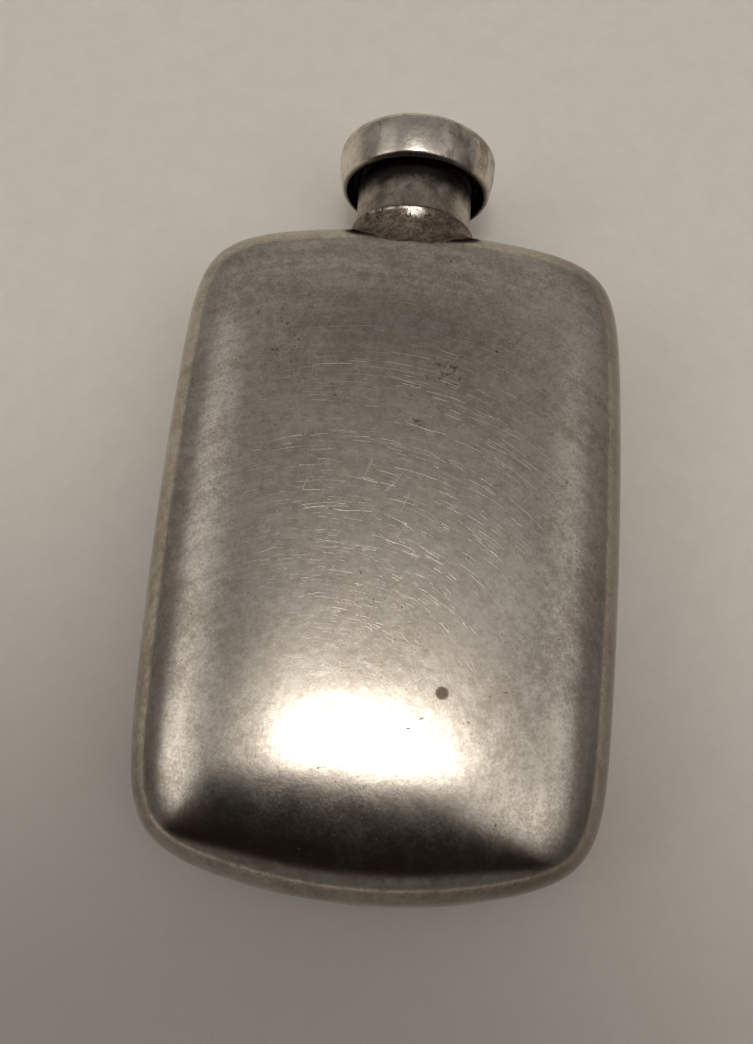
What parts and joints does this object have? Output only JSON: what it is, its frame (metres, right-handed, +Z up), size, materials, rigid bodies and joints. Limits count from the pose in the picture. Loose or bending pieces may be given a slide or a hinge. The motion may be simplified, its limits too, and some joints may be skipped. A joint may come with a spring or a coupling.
{
  "type": "needle case",
  "caption": "Small silver needle case in the form of a flask: a flat pillow-shaped body of soldered halves, a short threaded neck and a hollow bun-shaped screw cap.",
  "frame": {"origin": "on the surface that the case lies on, under the middle of its bounding box, at the flat land of the back", "axes": "+Y along the neck towards the cap, +Z up out of the front face, +X to the right seen from the front with the cap up"},
  "size_m": [0.03, 0.0528, 0.0112],
  "materials": {
    "silver": "worn polished silver, warm grey, fine scratches and light tarnish",
    "tarnished_silver": "dull silver, brown tarnish and small pits",
    "cork": "fine cut cork, compressed"
  },
  "bodies": {
    "case": {"front_shell": "silver", "back_shell": "silver", "neck_tube": "tarnished_silver"},
    "liner": {"cap_liner": "cork"},
    "cap": {"cap_shell": "silver", "cap_sleeve": "tarnished_silver"}
  },
  "joints": [
    {"name": "cap_rise", "type": "slide", "parent": "case", "child": "liner", "axis": [0, 1, 0], "range_m": [0, 0.0028]},
    {"name": "cap_unscrew", "type": "hinge", "parent": "liner", "child": "cap", "pos_m": [0, 0.0249, 0.0056], "axis": [0, 1, 0], "range_deg": [0, 1440]}
  ],
  "couplings": [
    {"joint": "cap_unscrew", "follows": "cap_rise", "rad_per_m": 8975.9}
  ]
}
